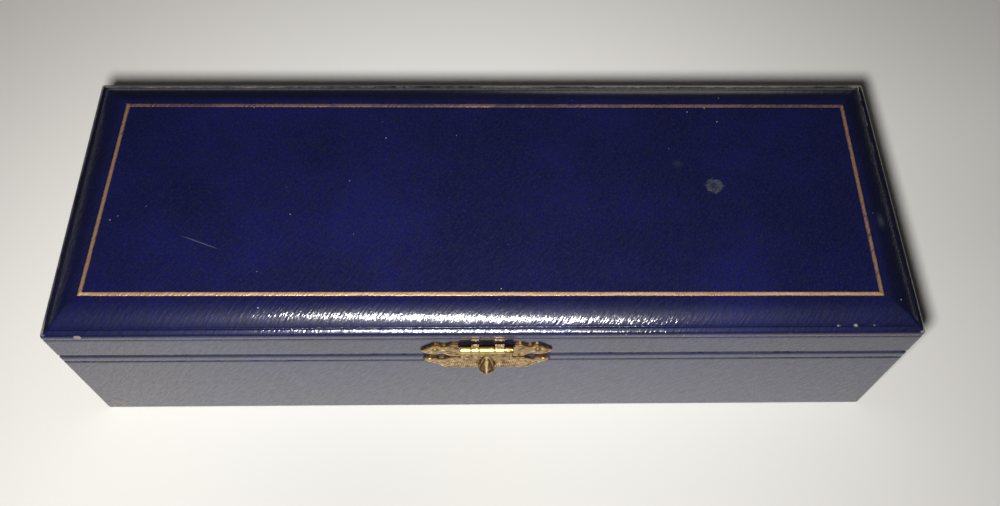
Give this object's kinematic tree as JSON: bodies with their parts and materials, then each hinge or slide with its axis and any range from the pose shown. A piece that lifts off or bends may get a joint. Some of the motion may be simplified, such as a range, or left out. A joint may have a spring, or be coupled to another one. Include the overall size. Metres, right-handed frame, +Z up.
{
  "type": "drafting instrument case",
  "caption": "Leather-covered wooden case for drafting instruments with a padded, gilt-lined hinged lid, a brass snap hasp and a notched velvet interior.",
  "frame": {"origin": "centre of the underside of the base", "axes": "+X along the length, +Y towards the hinges at the back, +Z up; the catch is at -Y"},
  "size_m": [0.205, 0.0769, 0.0488],
  "materials": {
    "leather": "straight-grained, glossy, worn at the corners",
    "gilt": "worn gold leaf",
    "wood": "planed, unfinished",
    "velvet": "velvet on card and wood",
    "satin": "satin",
    "wadding": "felted wadding",
    "sole": "dark paper on card",
    "brass": "stamped, aged"
  },
  "bodies": {
    "base": {"base_bottom_board": "wood", "base_front_wall": "wood", "base_back_wall": "wood", "base_left_wall": "wood", "base_right_wall": "wood", "base_leather": "leather", "base_sole": "sole", "base_front_lining": "velvet", "base_back_lining": "velvet", "base_left_lining": "velvet", "base_right_lining": "velvet", "floor_pad": "velvet", "left_saddle": "velvet", "right_saddle": "velvet", "catch_lower_plate": "brass", "catch_stud": "brass", "lower_plate_pins": "brass", "left_hinge_base_leaf": "brass", "right_hinge_base_leaf": "brass", "left_hinge_pin": "brass", "right_hinge_pin": "brass", "hinge_base_nails": "brass"},
    "lid": {"lid_top_board": "wood", "lid_front_rim": "wood", "lid_back_rim": "wood", "lid_left_rim": "wood", "lid_right_rim": "wood", "lid_leather": "leather", "lid_top_padding": "wadding", "gilt_border": "gilt", "lid_front_lining": "satin", "lid_back_lining": "satin", "lid_left_lining": "satin", "lid_right_lining": "satin", "lid_pad": "satin", "catch_upper_plate": "brass", "hasp_pin": "brass", "upper_plate_pins": "brass", "left_hinge_lid_leaf": "brass", "right_hinge_lid_leaf": "brass", "hinge_lid_nails": "brass"},
    "hasp": {"hasp": "brass"}
  },
  "joints": [
    {"name": "lid_hinge", "type": "hinge", "parent": "base", "child": "lid", "pos_m": [0, 0.0348, 0.0349], "axis": [-1, 0, 0], "range_deg": [0, 100]},
    {"name": "hasp_pivot", "type": "hinge", "parent": "lid", "child": "hasp", "pos_m": [0, -0.03855, 0.0409], "axis": [-1, 0, 0], "range_deg": [0, 150]}
  ]
}
